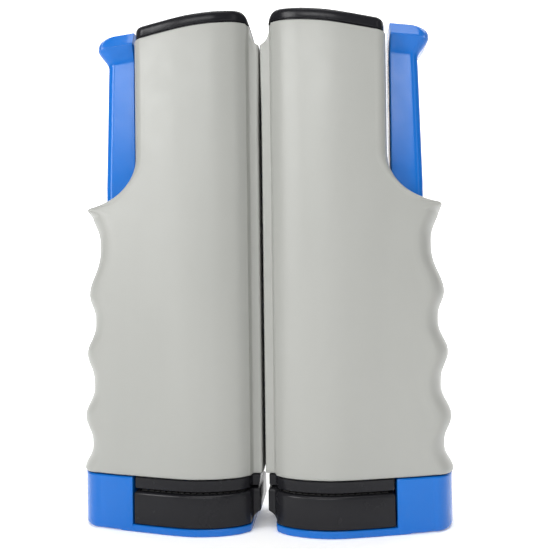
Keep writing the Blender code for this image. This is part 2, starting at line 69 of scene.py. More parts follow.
SHELL_LOW, SHELL_HIGH = corners("front_shell_right")
CAP_LOW = corners("top_cap_right")[0]
UPPER_JAW_LOW, UPPER_JAW_HIGH = corners("upper_jaw_right")
UPPER_PAD_HIGH = corners("upper_pad_right")[1]
LOWER_JAW_LOW, LOWER_JAW_HIGH = corners("lower_jaw_right")
LOWER_PAD_LOW = corners("lower_pad_right")[0]
SLIDER_HIGH = corners("clamp_slider_right")[1]
ROLL_LOW, ROLL_HIGH = corners("net_roll_right")
SPRING_LOW, SPRING_HIGH = corners("clamp_spring_right")
REEL_SPRING_LOW, REEL_SPRING_HIGH = corners("reel_spring_right")
SPAN_LOW, SPAN_HIGH = corners("net_span")

# The cap and the housing's top edge slope down away from the seam, so their levels here
# are those the slope would reach at the seam.
TOP_SLOPE = 0.128
CAP_TOP = 179.5
SHELL_TOP = 175.05
SHELL_BOTTOM = SHELL_LOW.z
# Half the gap between the two posts. The front one is narrow at the top and widens below
# SEAM_TOP over SEAM_TAPER.
FRONT_SEAM = (0.2, 0.55)
SEAM_TOP = 168.0
SEAM_TAPER = 30.0
REAR_SEAM = 0.05
JAW_START = 1.2
FLANGE_DEPTH = 12.0
TUBE_START = 4.4
TUBE_END = 39.0
# Half the depth of the post's section at places across it, and the stations where it is drawn.
TUBE_SECTION = [
    (TUBE_START, 15.1), (6.0, 16.7), (8.0, 18.3), (12.0, 20.0), (16.0, 21.1),
    (24.0, 21.6), (34.0, 19.7), (45.0, 16.8), (54.0, 14.4), (60.0, 12.3),
]
TUBE_STATIONS = [
    TUBE_START, 4.6, 4.9, 5.3, 5.8, 6.5, 7.4, 8.5, 9.8, 11.3, 13.0, 15.0, 17.0, 19.2,
    21.5, 24.0, 27.0, 30.0, 33.0, 36.0, TUBE_END,
]
DEPTH_LIMIT = 62.0
PARTITION = 43.6
CAVITY_END = 41.4
CAVITY_START = 6.5
WALL = 2.4
END_RADIUS = 8.0
SPLIT_HALF_GAP = 0.15
# The grip's outer edge as (height, reach): ridges and grooves by turns, up to where it is cut off
# beside the lever.
GRIP_EDGE = [
    (SHELL_BOTTOM, SHELL_HIGH.x), (28.2, 63.1), (38.0, 65.8), (49.7, 62.3), (60.4, 65.0),
    (72.0, 61.6), (81.3, 63.9), (98.8, 59.5), (110.6, 62.5),
]
RIDGE_SHARPNESS = 1.5
TIP_CURVE = [(62.5, 110.6), (62.5, 111.6), (61.9, 112.05), (60.6, 112.3)]
SHOULDER_CURVE = [(60.6, 112.3), (52.0, 113.9), (PARTITION, 118.2), (PARTITION, 129.0)]
CUT_START = 109.0
CUT_FADE = 3.2
# The cut edge's rounding, and how much more it has on the partition's upper part.
EDGE_ROUND = 1.1
EXTRA_ROUND = 3.2
EXTRA_ROUND_START = 117.0
EXTRA_ROUND_FADE = 11.0
LARGEST_ROUND = 4.3
BOTTOM_ROUND = 0.9
TOP_ROUND = 0.45
NOTCH_RADIUS = 5.35
NOTCH_CENTRE = (-1.9, 172.8)
SPINE_INNER = 45.4
SPINE_OUTER = 56.5
SPINE_TAPER = 1.2
FLARE_START = 164.2
HEAD_REACH = 59.3
HEAD_WIDEST = 173.0
HEAD_RIM = 170.9
UPPER_LIP = UPPER_JAW_LOW.z - 0.65
LOWER_LIP = LOWER_JAW_HIGH.z + 0.83
PAD_PROUD = 0.15
PAD_MARGIN = 2.3
POCKET_MARGIN = 2.0
PLUG_GAP = 0.3
REEL_X = 23.5
SPAN_BEND = 4.4
SPRING_X = 50.6
SHAFT_BORE = 1.9
SCREW_HOLE = 1.45
HEAD_HOLE = 2.3
# The housing's screws as (x, z, y of the head's seat), and the foot screws' x.
SCREW_PLACES = [(14.0, 170.4, 19.0), (14.0, 22.1, 19.0), (SPRING_X, 37.3, 12.0)]
FOOT_SCREWS = [14.0, 33.0]


# ---------------------------------------------------------------- outlines


def half_depth(x):
    """Return half the post's depth at x: a smooth curve through TUBE_SECTION."""
    knots = TUBE_SECTION
    index = max(i for i in range(len(knots) - 1) if knots[i][0] <= x or i == 0)
    (x0, y0), (x1, y1) = knots[index], knots[index + 1]
    before = knots[max(index - 1, 0)]
    after = knots[min(index + 2, len(knots) - 1)]
    slope0 = (y1 - before[1]) / (x1 - before[0])
    slope1 = (after[1] - y0) / (after[0] - x0)
    width = x1 - x0
    t = (x - x0) / width
    return (
        y0 * (1 + 2 * t) * (1 - t) ** 2
        + slope0 * width * t * (1 - t) ** 2
        + y1 * t * t * (3 - 2 * t)
        + slope1 * width * t * t * (t - 1)
    )


def bezier(points, t):
    """Return the point of a cubic curve."""
    weights = ((1 - t) ** 3, 3 * t * (1 - t) ** 2, 3 * t * t * (1 - t), t ** 3)
    return tuple(sum(w * p[k] for w, p in zip(weights, points)) for k in (0, 1))


def smooth(t):
    """Ease from 0 to 1."""
    t = min(max(t, 0.0), 1.0)
    return t * t * (3 - 2 * t)


def grip_reach(z):
    """Return how far out the grip's edge stands at z: cosine waves with broad grooves."""
    for (z0, x0), (z1, x1) in zip(GRIP_EDGE, GRIP_EDGE[1:]):
        if z <= z1:
            groove, ridge = min(x0, x1), max(x0, x1)
            travel = (z - z0) / (z1 - z0) if x0 < x1 else (z1 - z) / (z1 - z0)
            wave = (1 - math.cos(math.pi * travel)) / 2
            return groove + (ridge - groove) * wave ** RIDGE_SHARPNESS
    return GRIP_EDGE[-1][1]


def rounded_end(centre_x, end_x, depth, steps):
    """Return the quarter ellipse from (centre_x, depth) round to (end_x, 0)."""
    reach = end_x - centre_x
    angles = [math.pi / 2 * i / steps for i in range(steps + 1)]
    return [(centre_x + reach * math.sin(a), depth * math.cos(a)) for a in angles]


def corner_end(end_x, depth, radius, steps):
    """Return the quarter round from the face at this depth to a flat edge at end_x."""
    angles = [math.pi / 2 * i / steps for i in range(steps + 1)]
    corner = [(end_x - radius * (1 - math.sin(a)), depth - radius * (1 - math.cos(a))) for a in angles]
    return corner + [(end_x, 0.0)]


def flange_side(seam_x):
    """Return the rounded flange along the seam, up to where the tube begins."""
    radius = 0.8
    angles = [math.pi / 2 * i / 4 for i in range(5)]
    corner = [
        (seam_x + radius * (1 - math.cos(a)), FLANGE_DEPTH - radius * (1 - math.sin(a))) for a in angles
    ]
    hollow = [(3.0, FLANGE_DEPTH), (3.6, FLANGE_DEPTH + 0.2), (4.0, FLANGE_DEPTH + 0.8), (4.25, 13.9)]
    return corner + hollow


def tube_side(start, end):
    """Return the outer curve of one side of the tube between two X stations."""
    inner = [x for x in TUBE_STATIONS if start < x < end - 0.2]
    return [(x, half_depth(x)) for x in [start] + inner + [end]]


def both_sides(side):
    """Close a half outline (from seam to outer edge, y >= 0) with its mirror image."""
    lower = [(x, -y) for x, y in side]
    upper = [(x, y) for x, y in reversed(side) if y > 0.001]
    return lower + upper


def inset(outline, distance):
    """Return a closed counter-clockwise outline moved inward, with tight corners drawn together."""
    moved = []
    count = len(outline)
    for i, point in enumerate(outline):
        here = Vector(point)
        before = (here - Vector(outline[i - 1])).normalized()
        after = (Vector(outline[(i + 1) % count]) - here).normalized()
        normal = Vector((-before.y - after.y, before.x + after.x)).normalized()
        stretch = max(0.5, normal.dot(Vector((-before.y, before.x))))
        moved.append(here + normal * distance / stretch)
    for _ in range(6):
        for i in range(count):
            j = (i + 1) % count
            if (Vector(outline[j]) - Vector(outline[i])).dot(moved[j] - moved[i]) < 0:
                moved[i] = moved[j] = (moved[i] + moved[j]) / 2
    return [tuple(point) for point in moved]


# ---------------------------------------------------------------- solids


def to_object(name, solid):
    """Turn a bmesh into a scene object, still in millimetres."""
    bmesh.ops.recalc_face_normals(solid, faces=solid.faces)
    mesh = bpy.data.meshes.new(name)
    solid.to_mesh(mesh)
    solid.free()
    shape = bpy.data.objects.new(name, mesh)
    bpy.context.scene.collection.objects.link(shape)
    return shape


def loft(name, rings):
    """Skin closed rings of 3D points, all of one length, and cap both ends."""
    solid = bmesh.new()
    levels = [[solid.verts.new(point) for point in ring] for ring in rings]
    count = len(rings[0])
    for low, high in zip(levels, levels[1:]):
        for i in range(count):
            j = (i + 1) % count
            solid.faces.new((low[i], low[j], high[j], high[i]))
    solid.faces.new(levels[0])
    solid.faces.new(levels[-1])
    bmesh.ops.remove_doubles(solid, verts=solid.verts, dist=0.002)
    bmesh.ops.dissolve_degenerate(solid, edges=solid.edges, dist=0.001)
    return to_object(name, solid)


def prism(name, outline, low, high):
    """Extrude a plan outline upward."""
    return loft(name, [[(x, y, z) for x, y in outline] for z in (low, high)])


def sloped(ring):
    """Shear a ring of 3D points so that it falls away from the seam with the cap's slope."""
    return [(x, y, z - TOP_SLOPE * x) for x, y, z in ring]


def rimmed(name, outline, profile):
    """Loft a plan outline through (height, inset) levels."""
    return loft(name, [[(x, y, z) for x, y in inset(outline, margin)] for z, margin in profile])


def box(name, low, high):
    """Make a plain block between two corners."""
    outline = [(low[0], low[1]), (high[0], low[1]), (high[0], high[1]), (low[0], high[1])]
    return prism(name, outline, low[2], high[2])


def turned(name, centre, profile, segments, axis="Z"):
    """Spin a closed (radius, distance) profile about an axis through centre."""
    solid = bmesh.new()
    rings = []
    for i in range(segments):
        angle = 2 * math.pi * i / segments
        ring = []
        for radius, along in profile:
            across = (radius * math.cos(angle), radius * math.sin(angle))
            point = (*across, along) if axis == "Z" else (across[0], along, across[1])
            ring.append(solid.verts.new(Vector(point) + Vector(centre)))
        rings.append(ring)
    for i, ring in enumerate(rings):
        following = rings[(i + 1) % segments]
        for k in range(len(profile)):
            m = (k + 1) % len(profile)
            solid.faces.new((ring[k], ring[m], following[m], following[k]))
    bmesh.ops.remove_doubles(solid, verts=solid.verts, dist=0.0001)
    bmesh.ops.dissolve_degenerate(solid, edges=solid.edges, dist=0.0001)
    return to_object(name, solid)


def cylinder(name, centre, radius, low, high, segments, axis="Z"):
    """Make a round bar along an axis."""
    profile = [(0.0, low), (radius, low), (radius, high), (0.0, high)]
    return turned(name, centre, profile, segments, axis)


def combine(shape, cutters=(), additions=()):
    """Add and cut solids with exact Booleans, and drop the solids that were used."""
    for tools, operation in ((additions, "UNION"), (cutters, "DIFFERENCE")):
        for tool in tools:
            modifier = shape.modifiers.new(tool.name, "BOOLEAN")
            modifier.operation = operation
            modifier.object = tool
    graph = bpy.context.evaluated_depsgraph_get()
    mesh = bpy.data.meshes.new_from_object(shape.evaluated_get(graph))
    shape.modifiers.clear()
    shape.data = mesh
    for tool in list(additions) + list(cutters):
        bpy.data.objects.remove(tool)
    return shape


# ---------------------------------------------------------------- placing pieces


def make_piece(name, mesh, material, nodes, sharp):
    """Make one finished piece in metres from a mesh in millimetres."""
    mesh.name = name
    mesh.transform(Matrix.Scale(MM, 4))
    mesh.shade_smooth()
    mesh.set_sharp_from_angle(angle=math.radians(sharp))
    mesh.materials.clear()
    mesh.materials.append(material)
    piece = bpy.data.objects.new(name, mesh)
    bpy.context.scene.collection.objects.link(piece)
    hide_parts(*nodes)
    return piece


def place_pair(name, shape, material, body, nodes, sharp=32):
    """Finish a right-hand piece and its mirror image; body and nodes hold a {side} mark."""
    pieces = {}
    for side, sign in SIDES.items():
        mesh = shape.data.copy()
        if sign < 0:
            mesh.transform(Matrix.Scale(-1.0, 4, Vector((1.0, 0.0, 0.0))))
            mesh.flip_normals()
        own = [node.format(side=side) for node in nodes]
        pieces[side] = make_piece(f"{name}_{side}", mesh, material, own, sharp)
        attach(pieces[side], body.format(side=side))
    bpy.data.objects.remove(shape)
    return pieces


# ---------------------------------------------------------------- materials


class Graph:
    """A small helper that adds and links the nodes of one material."""

    def __init__(self, name):
        self.material = bpy.data.materials.new(name)
        self.material.use_nodes = True
        self.tree = self.material.node_tree
        self.shader = self.tree.nodes["Principled BSDF"]
        self.place = self.add("ShaderNodeTexCoord").outputs["Object"]

    def add(self, kind, **values):
        """Add a node and set its plain properties."""
        node = self.tree.nodes.new(kind)
        for key, value in values.items():
            setattr(node, key, value)
        return node

    def link(self, source, target):
        """Link an output to an input."""
        self.tree.links.new(source, target)

    def noise(self, scale, detail=4.0, rough=0.5, stretch=(1.0, 1.0, 1.0)):
        """Return the value output of a noise in object space."""
        mapping = self.add("ShaderNodeMapping")
        mapping.inputs["Scale"].default_value = stretch
        self.link(self.place, mapping.inputs["Vector"])
        noise = self.add("ShaderNodeTexNoise")
        noise.inputs["Scale"].default_value = scale
        noise.inputs["Detail"].default_value = detail
        noise.inputs["Roughness"].default_value = rough
        self.link(mapping.outputs["Vector"], noise.inputs["Vector"])
        return noise.outputs["Fac"]

    def spread(self, value, low, high, start=0.3, end=0.7):
        """Map a value between two limits."""
        node = self.add("ShaderNodeMapRange")
        node.inputs["From Min"].default_value = start
        node.inputs["From Max"].default_value = end
        node.inputs["To Min"].default_value = low
        node.inputs["To Max"].default_value = high
        self.link(value, node.inputs["Value"])
        return node.outputs["Result"]

    def blend(self, factor, first, second):
        """Mix two colours by a factor."""
        node = self.add("ShaderNodeMix", data_type="RGBA")
        self.link(factor, node.inputs["Factor"])
        node.inputs["A"].default_value = (*first, 1.0)
        node.inputs["B"].default_value = (*second, 1.0)
        return node.outputs["Result"]

    def bump(self, height, distance, normal=None):
        """Add a bump of a real height in metres."""
        node = self.add("ShaderNodeBump")
        node.inputs["Distance"].default_value = distance
        node.inputs["Strength"].default_value = 1.0
        self.link(height, node.inputs["Height"])
        if normal is not None:
            self.link(normal, node.inputs["Normal"])
        self.link(node.outputs["Normal"], self.shader.inputs["Normal"])
        return node.outputs["Normal"]


def moulded_plastic(name, colour, tint, rough, grain, depth, specular=0.5):
    """Make moulded plastic: faint flow mottling, fine spark grain and uneven gloss."""
    graph = Graph(name)
    flow = graph.noise(28.0, detail=3.0, stretch=(1.0, 1.0, 0.25))
    graph.link(graph.blend(graph.spread(flow, 0.0, 1.0), colour, tint), graph.shader.inputs["Base Color"])
    wear = graph.noise(170.0, detail=5.0, rough=0.6)
    graph.link(graph.spread(wear, rough - 0.05, rough + 0.06), graph.shader.inputs["Roughness"])
    graph.bump(graph.noise(grain, detail=2.0), depth)
    graph.shader.inputs["Specular IOR Level"].default_value = specular
    return graph.material


def grey_plastic():
    """Make the housing's warm light-grey satin plastic."""
    return moulded_plastic(
        "housing_grey", (0.298, 0.302, 0.283), (0.324, 0.327, 0.308),
        rough=0.38, grain=2600.0, depth=0.00002, specular=0.45,
    )


def blue_plastic():
    """Make the slider's clear mid-blue plastic, the glossiest of the four."""
    return moulded_plastic(
        "slider_blue", (0.003, 0.114, 0.44), (0.004, 0.126, 0.48),
        rough=0.20, grain=300.0, depth=0.000004, specular=0.32,
    )


def black_plastic():
    """Make the caps' and jaws' satin black plastic."""
    return moulded_plastic(
        "jaw_black", (0.008, 0.008, 0.010), (0.013, 0.013, 0.015),
        rough=0.24, grain=2400.0, depth=0.00001, specular=0.18,
    )


def reel_plastic():
    """Make the reel's plain off-white plastic."""
    return moulded_plastic(
        "reel_white", (0.70, 0.69, 0.66), (0.76, 0.75, 0.72), rough=0.45, grain=2000.0, depth=0.00002
    )


def pad_rubber():
    """Make matt black rubber with a soft, dusty surface."""
    graph = Graph("pad_rubber")
    dust = graph.noise(260.0, 5.0, 0.6)
    tone = graph.blend(graph.spread(dust, 0.0, 1.0), (0.014, 0.014, 0.014), (0.034, 0.033, 0.032))
    graph.link(tone, graph.shader.inputs["Base Color"])
    graph.link(graph.spread(dust, 0.72, 0.9), graph.shader.inputs["Roughness"])
    graph.bump(graph.noise(1500.0, 3.0, 0.6), 0.00006)
    return graph.material


def drawn_steel():
    """Make bright steel with faint drawing marks along its length."""
    graph = Graph("drawn_steel")
    lines = graph.noise(900.0, 3.0, 0.6, (1.0, 1.0, 0.08))
    tone = graph.blend(graph.spread(lines, 0.0, 1.0), (0.50, 0.50, 0.52), (0.66, 0.66, 0.67))
    graph.link(tone, graph.shader.inputs["Base Color"])
    graph.link(graph.spread(lines, 0.2, 0.36), graph.shader.inputs["Roughness"])
    graph.bump(lines, 0.000008)
    graph.shader.inputs["Metallic"].default_value = 1.0
    return graph.material


def lines_along(graph, axis, pitch, share):
    """Return 1 on evenly spaced threads across an axis and 0 between them."""
    split = graph.add("ShaderNodeSeparateXYZ")
    graph.link(graph.place, split.inputs["Vector"])
    scaled = graph.add("ShaderNodeMath", operation="DIVIDE")
    graph.link(split.outputs[axis], scaled.inputs[0])
    scaled.inputs[1].default_value = pitch
    part = graph.add("ShaderNodeMath", operation="FRACT")
    graph.link(scaled.outputs["Value"], part.inputs[0])
    thread = graph.add("ShaderNodeMath", operation="LESS_THAN")
    graph.link(part.outputs["Value"], thread.inputs[0])
    thread.inputs[1].default_value = share
    return thread.outputs["Value"]


def net_mesh():
    """Make the knotted net: dark twine with square holes between."""
    graph = Graph("net_mesh")
    pitch, share = 0.0095, 0.19
    across = lines_along(graph, "X", pitch, share)
    along = lines_along(graph, "Z", pitch, share)
    either = graph.add("ShaderNodeMath", operation="MAXIMUM")
    graph.link(across, either.inputs[0])
    graph.link(along, either.inputs[1])
    graph.link(either.outputs["Value"], graph.shader.inputs["Alpha"])
    twist = graph.noise(2200.0, 3.0, 0.6)
    tone = graph.blend(graph.spread(twist, 0.0, 1.0), (0.010, 0.030, 0.085), (0.022, 0.060, 0.15))
    graph.link(tone, graph.shader.inputs["Base Color"])
    graph.shader.inputs["Roughness"].default_value = 0.85
    graph.bump(twist, 0.00015)
    return graph.material


def woven(name, first, second):
    """Make plain-woven cloth with threads about half a millimetre apart."""
    graph = Graph(name)
    pitch, share = 0.0006, 0.5
    warp = lines_along(graph, "Z", pitch, share)
    weft = lines_along(graph, "X", pitch, share)
    cross = graph.add("ShaderNodeMath", operation="SUBTRACT")
    graph.link(warp, cross.inputs[0])
    graph.link(weft, cross.inputs[1])
    check = graph.add("ShaderNodeMath", operation="ABSOLUTE")
    graph.link(cross.outputs["Value"], check.inputs[0])
    fluff = graph.noise(1400.0, 4.0, 0.6)
    graph.link(graph.blend(graph.spread(fluff, 0.0, 1.0), first, second), graph.shader.inputs["Base Color"])
    graph.shader.inputs["Roughness"].default_value = 0.9
    graph.shader.inputs["Sheen Weight"].default_value = 0.2
    lifted = graph.bump(check.outputs["Value"], 0.00008)
    graph.bump(fluff, 0.00006, lifted)
    return graph.material


GREY = grey_plastic()
BLUE = blue_plastic()
BLACK = black_plastic()
WHITE = reel_plastic()
RUBBER = pad_rubber()
STEEL = drawn_steel()
NET = net_mesh()
TAPE = woven("net_tape", (0.72, 0.72, 0.70), (0.82, 0.82, 0.80))
WOUND = woven("wound_net", (0.012, 0.034, 0.09), (0.03, 0.07, 0.17))


# ---------------------------------------------------------------- housing


def edge_levels():
    """Return (z, reach, steepness) up the outer edge, closer together near the grip's tip."""
    levels = []
    z = SHELL_BOTTOM
    while z < GRIP_EDGE[-1][0]:
        levels.append((z, grip_reach(z), 1.0))
        z += 1.55 if z < 107.0 else 0.5
    for curve, steps in ((TIP_CURVE, 8), (SHOULDER_CURVE, 30)):
        last = steps if curve is SHOULDER_CURVE else steps - 1
        for i in range(last + 1):
            x, z = bezier(curve, i / steps)
            ahead = bezier(curve, min(1.0, i / steps + 0.01))
            behind = bezier(curve, max(0.0, i / steps - 0.01))
            run, rise = ahead[0] - behind[0], ahead[1] - behind[1]
            levels.append((z, x, abs(rise) / math.hypot(run, rise)))
    levels += [(z, PARTITION, 1.0) for z in (136.0, 143.0, 150.0, 157.0, 163.0)]
    return levels


def seam_gap(z, facing):
    """Return half the gap at the seam, on the front (facing -1) or the back (facing 1)."""
    if facing > 0:
        return REAR_SEAM
    narrow, wide = FRONT_SEAM
    return narrow + (wide - narrow) * smooth((SEAM_TOP - z) / SEAM_TAPER)


def shell_ring(z, reach, steepness, trim, facing):
    """Return one level of a housing half: flange, tube, grip and its outer edge.

    The edge is a half round on the grip. Above it the edge is cut off flat beside the lever, with
    rounded corners that are broader up the partition and where the edge leans.
    """
    cut = smooth((z - CUT_START) / CUT_FADE)
    rounding = EDGE_ROUND + EXTRA_ROUND * smooth((z - EXTRA_ROUND_START) / EXTRA_ROUND_FADE)
    cut_round = min(LARGEST_ROUND, rounding / max(steepness, 0.25))
    width = END_RADIUS + (cut_round - END_RADIUS) * cut
    centre = reach - width
    seam = seam_gap(z, facing)
    side = flange_side(seam) + tube_side(TUBE_START, TUBE_END)
    stations = [TUBE_END + (centre - TUBE_END) * i / 6 for i in range(1, 6)]
    side += [(x, half_depth(x)) for x in stations]
    full = half_depth(centre)
    end = cut * (half_depth(min(reach, DEPTH_LIMIT)) - rounding)
    for i in range(9):
        angle = math.pi / 2 * i / 8
        side.append((reach - width * (1 - math.sin(angle)), end + (full - end) * math.cos(angle)))
    least = SPLIT_HALF_GAP + 0.1
    outer_half = 30.0
    side = [(min(x, reach - trim) if x > outer_half else x, max(y - trim, least)) for x, y in side]
    side = [(seam, SPLIT_HALF_GAP)] + side + [(side[-1][0], SPLIT_HALF_GAP)]
    return [(x, facing * y, z) for x, y in side]


def shell_blank(name, facing):
    """Make the solid outer form of one half of the housing, with its ends' edges rounded."""
    rings = []
    for i in range(5):
        angle = math.pi / 2 * i / 5
        trim = BOTTOM_ROUND * (1 - math.sin(angle))
        z = SHELL_BOTTOM + BOTTOM_ROUND * (1 - math.cos(angle))
        rings.append(shell_ring(z, grip_reach(z), 1.0, trim, facing))
    for z, reach, steepness in edge_levels():
        if z > SHELL_BOTTOM + BOTTOM_ROUND:
            rings.append(shell_ring(z, reach, steepness, 0.0, facing))
    for i in range(5):
        angle = math.pi / 2 * i / 4
        trim = TOP_ROUND * (1 - math.cos(angle))
        z = SHELL_TOP - TOP_ROUND * (1 - math.sin(angle))
        rings.append(sloped(shell_ring(z, PARTITION, 1.0, trim, facing)))
    return loft(name, rings)


def cavity_outline(margin):
    """Return the reel cavity's outline."""
    side = [(CAVITY_START - WALL, FLANGE_DEPTH)] + tube_side(TUBE_START, CAVITY_END + WALL)
    return inset(both_sides(side), WALL + margin)


def screw_recess(x, z, seat):
    """Make the cutter for a screw hole in the back of the housing, with room for the head."""
    start, end = seat - 8, 30.0
    profile = [
        (0.0, start), (SCREW_HOLE, start), (SCREW_HOLE, seat), (HEAD_HOLE, seat), (HEAD_HOLE, end), (0.0, end)
    ]
    return turned("recess", (x, 0, z), profile, 24, "Y")


def screw_hole(place):
    """Make the cutter for a housing screw's hole in a cap or jaw plate."""
    x, z, _ = place
    return cylinder("screw", (x, 0, z), SCREW_HOLE, 9.6, 30, 20, "Y")


def notch_cutter():
    """Make the cutter for a post's half of the pointed notch at the top of the seam."""
    centre_x, centre_z = NOTCH_CENTRE
    angles = [math.pi / 2 * i / 20 for i in range(21)]
    outline = [(centre_x + NOTCH_RADIUS * math.sin(a), centre_z - NOTCH_RADIUS * math.cos(a)) for a in angles]
    outline += [(centre_x + NOTCH_RADIUS, 190.0), (centre_x, 190.0)]
    return loft("notch", [[(x, y, z) for x, z in outline] for y in (-30, 30)])


def build_housing():
    """Build the grey grip housing: both halves, cut by the cavity, channel, notch and net slot."""
    channel_depth = 8.5
    channel = both_sides([(PARTITION + 0.05, channel_depth)] + corner_end(57.0, channel_depth, 3.2, 8))
    slot = [(-2.0, -1.3), (9.0, -1.3), (9.0, 7.9), (7.0, 7.9), (3.3, 1.3), (-2.0, 1.3)]
    for name, facing in (("housing_front", -1), ("housing_rear", 1)):
        cutters = [
            prism("cavity", cavity_outline(0.0), 0.0, 190.0),
            prism("channel", channel, 0.0, 190.0),
            notch_cutter(),
            prism("net_slot", slot, SPAN_LOW.z - 0.6, SPAN_HIGH.z + 2.6),
        ]
        if facing > 0:
            cutters += [screw_recess(*place) for place in SCREW_PLACES]
        shape = combine(shell_blank(name, facing), cutters)
        node = "front_shell_{side}" if facing < 0 else "rear_shell_{side}"
        place_pair(name, shape, GREY, "{side}_post", [node])


# ---------------------------------------------------------------- cap and jaws


def cap_outline():
    """Return the end cap's plan outline, with broad corners at its outer end."""
    start, length = 39.2, 3.9
    full, end = half_depth(start), half_depth(43.1) - 4.2
    side = [(3.3, 11.0), (3.4, 12.8), (3.75, 14.2)] + tube_side(TUBE_START, start)
    for angle in [math.pi / 2 * i / 8 for i in range(1, 9)]:
        side.append((start + length * math.sin(angle), end + (full - end) * math.cos(angle)))
    return both_sides(side)


def sheared(shape):
    """Give a shape the cap's slope."""
    for vertex in shape.data.vertices:
        vertex.co.z -= TOP_SLOPE * vertex.co.x
    return shape


def build_cap():
    """Build the black end cap: a rounded rim, an inner end that rolls down, and a shallow panel."""
    base = SHELL_TOP + 0.1
    top = CAP_TOP
    roll_start, roll_length = 6.8, 3.3
    profile = [
        (base, 0.6), (base + 0.35, 0.6), (base + 0.45, 0.15), (base + 0.7, 0.05), (base + 2.3, 0.05),
        (base + 3.3, 0.15), (base + 3.8, 0.45), (base + 4.1, 0.9), (base + 4.28, 1.5), (top, 2.3),
    ]
    cap = rimmed("cap", cap_outline(), profile)
    for vertex in cap.data.vertices:
        shrink = math.sqrt(max(0.03, 1 - max(0.0, (roll_start - vertex.co.x) / roll_length) ** 2))
        vertex.co.z = base + (vertex.co.z - base) * shrink
    cap = sheared(cap)
    panel_outline = inset(both_sides([(9.0, 13.0)] + tube_side(10.8, TUBE_END)), 2.4)
    panel = sheared(rimmed("panel", panel_outline, [(top - 0.4, 0.5), (top - 0.25, 0.0), (top + 2, -0.4)]))
    plug = cavity_outline(PLUG_GAP)
    foot = [(x, y, CAP_LOW.z) for x, y in plug]
    head = sloped([(x, y, base + 1.0) for x, y in plug])
    spigot = loft("spigot", [foot, head])
    bore = cylinder("bore", (REEL_X, 0, 0), SHAFT_BORE, CAP_LOW.z - 5, 174.1, 32)
    shape = combine(cap, [panel, bore, screw_hole(SCREW_PLACES[0])], [spigot])
    place_pair("end_cap", shape, BLACK, "{side}_post", ["top_cap_{side}"])


def jaw_outline(margin):
    """Return a jaw's plan outline, following the housing's section."""
    end_x, depth = UPPER_JAW_HIGH.x, half_depth(44.0)
    side = flange_side(JAW_START) + tube_side(TUBE_START, end_x - 0.5)
    side += [(end_x - 0.15, depth - 0.2), (end_x, depth - 0.8)]
    return inset(both_sides(side), margin)


def pad_outline(margin):
    """Return a jaw pad's outline."""
    return inset(both_sides(tube_side(TUBE_START, UPPER_JAW_HIGH.x)), margin)


def ribs(low, high):
    """Make one cutter of narrow grooves across a pad."""
    solid = bmesh.new()
    width, length, pitch = 0.7, 60.0, 2.2
    x = 9.0
    while x < 40.0:
        made = bmesh.ops.create_cube(solid, size=1.0)["verts"]
        bmesh.ops.scale(solid, vec=(width, length, high - low), verts=made)
        bmesh.ops.translate(solid, vec=(x, 0.0, (low + high) / 2), verts=made)
        x += pitch
    return to_object("ribs", solid)


def build_jaws():
    """Build the upper jaw plate, the lower jaw block and both ribbed pads."""
    build_upper_jaw()
    build_lower_jaw()
    build_pads()


def build_upper_jaw():
    """Build the plate that closes the housing's foot, with its plug and the pad's pocket."""
    bottom = UPPER_LIP
    plate_top = SHELL_BOTTOM - 0.3
    profile = [
        (bottom, 0.75), (bottom + 0.12, 0.4), (bottom + 0.4, 0.25), (plate_top - 0.2, 0.25), (plate_top, 0.45)
    ]
    plate = rimmed("plate", jaw_outline(0.25), profile)
    spigot = prism("spigot", cavity_outline(PLUG_GAP), UPPER_JAW_LOW.z + 2.2, UPPER_JAW_HIGH.z)
    cutters = [
        prism("pocket", pad_outline(POCKET_MARGIN), 0.0, UPPER_PAD_HIGH.z + 0.3),
        cylinder("bore", (REEL_X, 0, 0), SHAFT_BORE, SHELL_BOTTOM + 0.2, 60.0, 32),
        screw_hole(SCREW_PLACES[1]),
    ]
    shape = combine(plate, cutters, [spigot])
    place_pair("jaw_plate", shape, BLACK, "{side}_post", ["upper_jaw_{side}"])


def build_lower_jaw():
    """Build the block on the foot plate, with a round notch at its inner end."""
    top = LOWER_LIP
    low = LOWER_JAW_LOW.z
    profile = [
        (low, 0.3), (low + 0.3, 0.0), (top - 0.95, 0.0), (top - 0.55, 0.12), (top - 0.2, 0.42), (top, 0.95)
    ]
    block = rimmed("block", jaw_outline(0.15), profile)
    cutters = [
        prism("pocket", pad_outline(POCKET_MARGIN), LOWER_PAD_LOW.z - 0.3, 40.0),
        cylinder("notch", (-0.3, 0, 1.8), 4.9, -30, 30, 64, "Y"),
    ]
    for x in FOOT_SCREWS:
        cutters.append(cylinder("hole", (x, 0, 0), SCREW_HOLE, 0.0, 9.2, 20))
    shape = combine(block, cutters)
    place_pair("jaw_block", shape, BLACK, "slider_{side}", ["lower_jaw_{side}"])


def build_pads():
    """Build both rubber pads, ribbed on the faces that grip the table."""
    face = UPPER_LIP - PAD_PROUD
    pad = rimmed("pad", pad_outline(PAD_MARGIN), [(face, 0.3), (face + 0.3, 0.0), (UPPER_PAD_HIGH.z, 0.0)])
    shape = combine(pad, [ribs(face - 1.0, face + 0.45)])
    place_pair("upper_jaw_pad", shape, RUBBER, "{side}_post", ["upper_pad_{side}"])
    face = LOWER_LIP + PAD_PROUD
    pad = rimmed("pad", pad_outline(PAD_MARGIN), [(LOWER_PAD_LOW.z, 0.0), (face - 0.3, 0.0), (face, 0.3)])
    shape = combine(pad, [ribs(face - 0.45, face + 1.0)])
    place_pair("lower_jaw_pad", shape, RUBBER, "slider_{side}", ["lower_pad_{side}"])


# ---------------------------------------------------------------- slider


